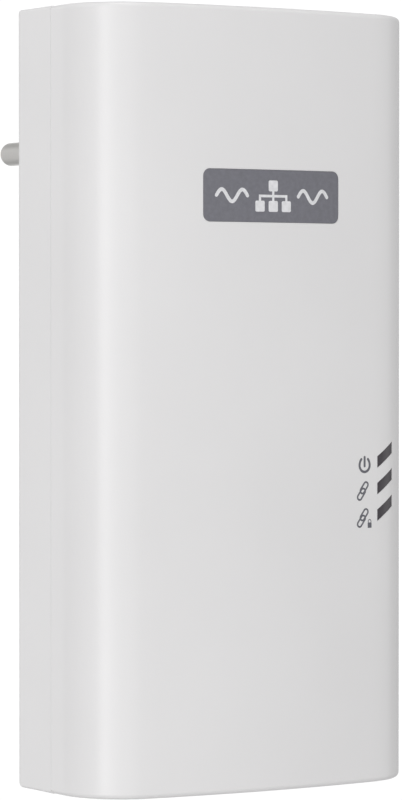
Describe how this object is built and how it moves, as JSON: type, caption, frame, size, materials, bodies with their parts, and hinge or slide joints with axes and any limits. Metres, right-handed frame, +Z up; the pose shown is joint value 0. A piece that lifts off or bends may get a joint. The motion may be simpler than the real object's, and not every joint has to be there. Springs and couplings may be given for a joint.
{
  "type": "powerline adapter",
  "caption": "Network adapter that plugs into a wall socket: tall bowed white case with an earthed plug behind, slanted status windows, a network port and push buttons.",
  "frame": {"origin": "centre of the plug's flat mating face, between its two pins", "axes": "+Y along the pins into the wall socket, +Z up the case's height, so the bowed front faces -Y"},
  "size_m": [0.075, 0.0866, 0.15],
  "materials": {
    "case_white": "fine satin moulded plastic",
    "plug_grey": "matt moulded plastic",
    "lens_smoke": "glossy smoked plastic",
    "pin_nickel": "nickel plate",
    "steel": "zinc-plated steel",
    "aluminium": "extruded aluminium",
    "copper": "enamelled copper",
    "black_plastic": "black moulded plastic",
    "board_green": "solder mask on glass-fibre board",
    "ferrite": "matt ferrite",
    "tape_yellow": "yellow tape or film box",
    "part_blue": "blue sleeve or resin",
    "wire_brown": "wire insulation",
    "wire_green": "wire insulation",
    "chip_black": "moulded chip package",
    "label_white": "blank label film",
    "light_body": "pale moulded plastic",
    "sheet_cream": "insulating fibre sheet"
  },
  "bodies": {
    "case": {"front_cover": "case_white", "rear_cover": "case_white", "plug_base": "plug_grey", "lens_power": "lens_smoke", "lens_link": "lens_smoke", "lens_secure": "lens_smoke", "live_pin": "pin_nickel", "neutral_pin": "pin_nickel", "port_contacts": "pin_nickel", "earth_clip_top": "steel", "earth_clip_bottom": "steel", "earth_bridge": "steel", "case_screw_1": "steel", "case_screw_2": "steel", "case_screw_3": "steel", "case_screw_4": "steel", "board_screw_1": "steel", "board_screw_2": "steel", "plug_screw_1": "steel", "plug_screw_2": "steel", "port_shield": "steel", "crystal": "steel", "transistor_heatsink": "aluminium", "plc_heatsink": "aluminium", "choke_winding_1": "copper", "choke_winding_2": "copper", "led_shroud": "black_plastic", "port_housing": "black_plastic", "fuse": "black_plastic", "bulk_capacitor": "black_plastic", "transformer_bobbin": "black_plastic", "main_board": "board_green", "choke_core": "ferrite", "transformer_core": "ferrite", "output_choke": "ferrite", "x_capacitor": "tape_yellow", "transformer_winding": "tape_yellow", "coupling_transformer": "tape_yellow", "varistor": "part_blue", "output_capacitor_1": "part_blue", "output_capacitor_2": "part_blue", "neutral_wire": "part_blue", "live_wire": "wire_brown", "earth_wire": "wire_green", "bridge_rectifier": "chip_black", "power_transistor": "chip_black", "plc_chip": "chip_black", "memory_chip": "chip_black", "network_transformer": "chip_black", "pair_switch_body": "chip_black", "reset_switch_body": "chip_black", "rating_label": "label_white", "led_power": "light_body", "led_link": "light_body", "led_secure": "light_body", "insulation_sheet": "sheet_cream"},
    "pair_button": {"pair_button": "plug_grey", "pair_switch_plunger": "light_body"},
    "reset_plunger": {"reset_switch_plunger": "light_body"}
  },
  "joints": [
    {"name": "pair_button_press", "type": "slide", "parent": "case", "child": "pair_button", "axis": [0, 0, 1], "range_m": [0, 0.0005], "stiffness_N_per_m": 3000},
    {"name": "reset_plunger_press", "type": "slide", "parent": "case", "child": "reset_plunger", "axis": [0, 0, 1], "range_m": [0, 0.0003], "stiffness_N_per_m": 4000}
  ]
}
